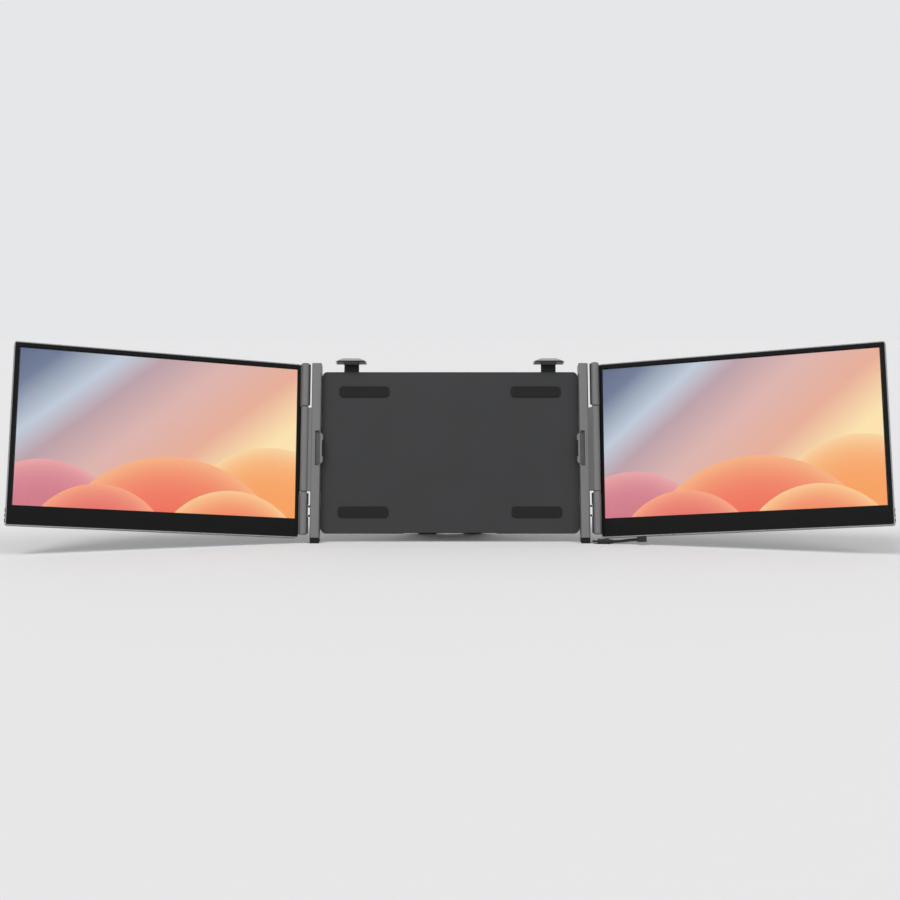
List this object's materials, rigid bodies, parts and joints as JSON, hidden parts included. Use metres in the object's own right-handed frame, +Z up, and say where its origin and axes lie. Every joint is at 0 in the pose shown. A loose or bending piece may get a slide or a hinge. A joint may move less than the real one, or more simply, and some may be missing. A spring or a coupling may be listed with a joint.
{
  "type": "laptop screen extender",
  "caption": "Two side screens on friction hinges at sliding columns that grip a laptop lid, with top hooks, a folding kickstand and a short connecting lead.",
  "frame": {"origin": "on the ground under the middle of the object, which stands on its column feet and kickstand", "axes": "+Z up, +X to the right as the user sees it, +Y away from the user"},
  "size_m": [1.0554, 0.2087, 0.2537],
  "materials": {
    "panel_steel": "fine matt powder coat",
    "cover_aluminium": "satin anodised, dark grey",
    "column_aluminium": "satin anodised, mid grey",
    "screen_shell_aluminium": "satin anodised, mid grey",
    "rail_steel": "brushed",
    "pin_steel": "ground and polished",
    "leaf_steel": "stamped",
    "spring_steel": "drawn wire",
    "screw_steel": "blackened",
    "rubber_black": "matt",
    "guide_plastic": "natural acetal",
    "jaw_plastic": "fine texture",
    "hook_plastic": "fine texture",
    "cap_metal": "light satin",
    "bezel_plastic": "fine matt texture",
    "screen_glass": "anti-glare",
    "lcd_module": "lit picture",
    "circuit_board": "solder mask",
    "port_metal": "bright plated",
    "button_plastic": "fine texture",
    "lead_sheath": "smooth matt",
    "plug_plastic": "moulded"
  },
  "bodies": {
    "frame": {"front_panel": "panel_steel", "back_cover": "cover_aluminium", "lid_pads": "rubber_black", "rail_guides": "guide_plastic", "hook_guides": "guide_plastic", "kickstand_brackets": "leaf_steel", "kickstand_pin": "pin_steel", "frame_screws": "screw_steel"},
    "kickstand": {"kickstand_leg": "cover_aluminium", "kickstand_foot": "rubber_black"},
    "left_column": {"left_front_shell": "column_aluminium", "left_back_shell": "column_aluminium", "left_rails": "rail_steel", "left_foot": "rubber_black", "left_hinge_pins": "pin_steel", "left_bumpers": "rubber_black", "left_jaw_springs": "spring_steel"},
    "left_jaw": {"left_jaw": "jaw_plastic", "left_jaw_pad": "rubber_black"},
    "left_hook": {"left_hook": "hook_plastic", "left_hook_cap": "cap_metal", "left_hook_pad": "rubber_black"},
    "left_screen": {"left_rear_shell": "screen_shell_aluminium", "left_bezel": "bezel_plastic", "left_glass": "screen_glass", "left_lcd_panel": "lcd_module", "left_driver_board": "circuit_board", "left_ports": "port_metal", "left_hinge_leaves": "leaf_steel", "left_knuckles": "column_aluminium"},
    "left_power_key": {"left_power_button": "button_plastic"},
    "left_minus_key": {"left_minus_button": "button_plastic"},
    "left_plus_key": {"left_plus_button": "button_plastic"},
    "right_column": {"right_front_shell": "column_aluminium", "right_back_shell": "column_aluminium", "right_rails": "rail_steel", "right_foot": "rubber_black", "right_hinge_pins": "pin_steel", "right_bumpers": "rubber_black", "right_jaw_springs": "spring_steel"},
    "right_jaw": {"right_jaw": "jaw_plastic", "right_jaw_pad": "rubber_black"},
    "right_hook": {"right_hook": "hook_plastic", "right_hook_cap": "cap_metal", "right_hook_pad": "rubber_black"},
    "right_screen": {"right_rear_shell": "screen_shell_aluminium", "right_bezel": "bezel_plastic", "right_glass": "screen_glass", "right_lcd_panel": "lcd_module", "right_driver_board": "circuit_board", "right_ports": "port_metal", "right_hinge_leaves": "leaf_steel", "right_knuckles": "column_aluminium", "lead_cable": "lead_sheath", "lead_plug": "plug_plastic", "lead_far_plug": "plug_plastic"},
    "right_power_key": {"right_power_button": "button_plastic"},
    "right_minus_key": {"right_minus_button": "button_plastic"},
    "right_plus_key": {"right_plus_button": "button_plastic"}
  },
  "joints": [
    {"name": "kickstand_fold", "type": "hinge", "parent": "frame", "child": "kickstand", "pos_m": [0, 0.06748, 0.14883], "axis": [1, 0, 0], "range_deg": [-28.3, 20]},
    {"name": "left_column_slide", "type": "slide", "parent": "frame", "child": "left_column", "axis": [-1, 0, 0], "range_m": [0, 0.0315]},
    {"name": "left_jaw_press", "type": "slide", "parent": "left_column", "child": "left_jaw", "axis": [-1, 0, 0], "range_m": [0, 0.0022], "stiffness_N_per_m": 600, "springref_m": -0.005, "deforming": ["left_jaw_springs"]},
    {"name": "left_hook_slide", "type": "slide", "parent": "frame", "child": "left_hook", "axis": [0, 0.2588, 0.9659], "range_m": [-0.006, 0.02]},
    {"name": "left_screen_swing", "type": "hinge", "parent": "left_column", "child": "left_screen", "pos_m": [-0.185, 0.03881, 0.11718], "axis": [0, 0.2588, 0.9659], "range_deg": [-19.5, 160.5]},
    {"name": "left_power_press", "type": "slide", "parent": "left_screen", "child": "left_power_key", "axis": [0.9426, 0.3224, -0.0864], "range_m": [0, 0.0006], "stiffness_N_per_m": 800, "springref_m": -0.0006},
    {"name": "left_minus_press", "type": "slide", "parent": "left_screen", "child": "left_minus_key", "axis": [0.9426, 0.3224, -0.0864], "range_m": [0, 0.0006], "stiffness_N_per_m": 800, "springref_m": -0.0006},
    {"name": "left_plus_press", "type": "slide", "parent": "left_screen", "child": "left_plus_key", "axis": [0.9426, 0.3224, -0.0864], "range_m": [0, 0.0006], "stiffness_N_per_m": 800, "springref_m": -0.0006},
    {"name": "right_column_slide", "type": "slide", "parent": "frame", "child": "right_column", "axis": [1, 0, 0], "range_m": [0, 0.0315]},
    {"name": "right_jaw_press", "type": "slide", "parent": "right_column", "child": "right_jaw", "axis": [1, 0, 0], "range_m": [0, 0.0022], "stiffness_N_per_m": 600, "springref_m": -0.005, "deforming": ["right_jaw_springs"]},
    {"name": "right_hook_slide", "type": "slide", "parent": "frame", "child": "right_hook", "axis": [0, 0.2588, 0.9659], "range_m": [-0.006, 0.02]},
    {"name": "right_screen_swing", "type": "hinge", "parent": "right_column", "child": "right_screen", "pos_m": [0.185, 0.03465, 0.11829], "axis": [0, -0.2588, -0.9659], "range_deg": [-19.5, 160.5]},
    {"name": "right_power_press", "type": "slide", "parent": "right_screen", "child": "right_power_key", "axis": [-0.9426, 0.3224, -0.0864], "range_m": [0, 0.0006], "stiffness_N_per_m": 800, "springref_m": -0.0006},
    {"name": "right_minus_press", "type": "slide", "parent": "right_screen", "child": "right_minus_key", "axis": [-0.9426, 0.3224, -0.0864], "range_m": [0, 0.0006], "stiffness_N_per_m": 800, "springref_m": -0.0006},
    {"name": "right_plus_press", "type": "slide", "parent": "right_screen", "child": "right_plus_key", "axis": [-0.9426, 0.3224, -0.0864], "range_m": [0, 0.0006], "stiffness_N_per_m": 800, "springref_m": -0.0006}
  ]
}
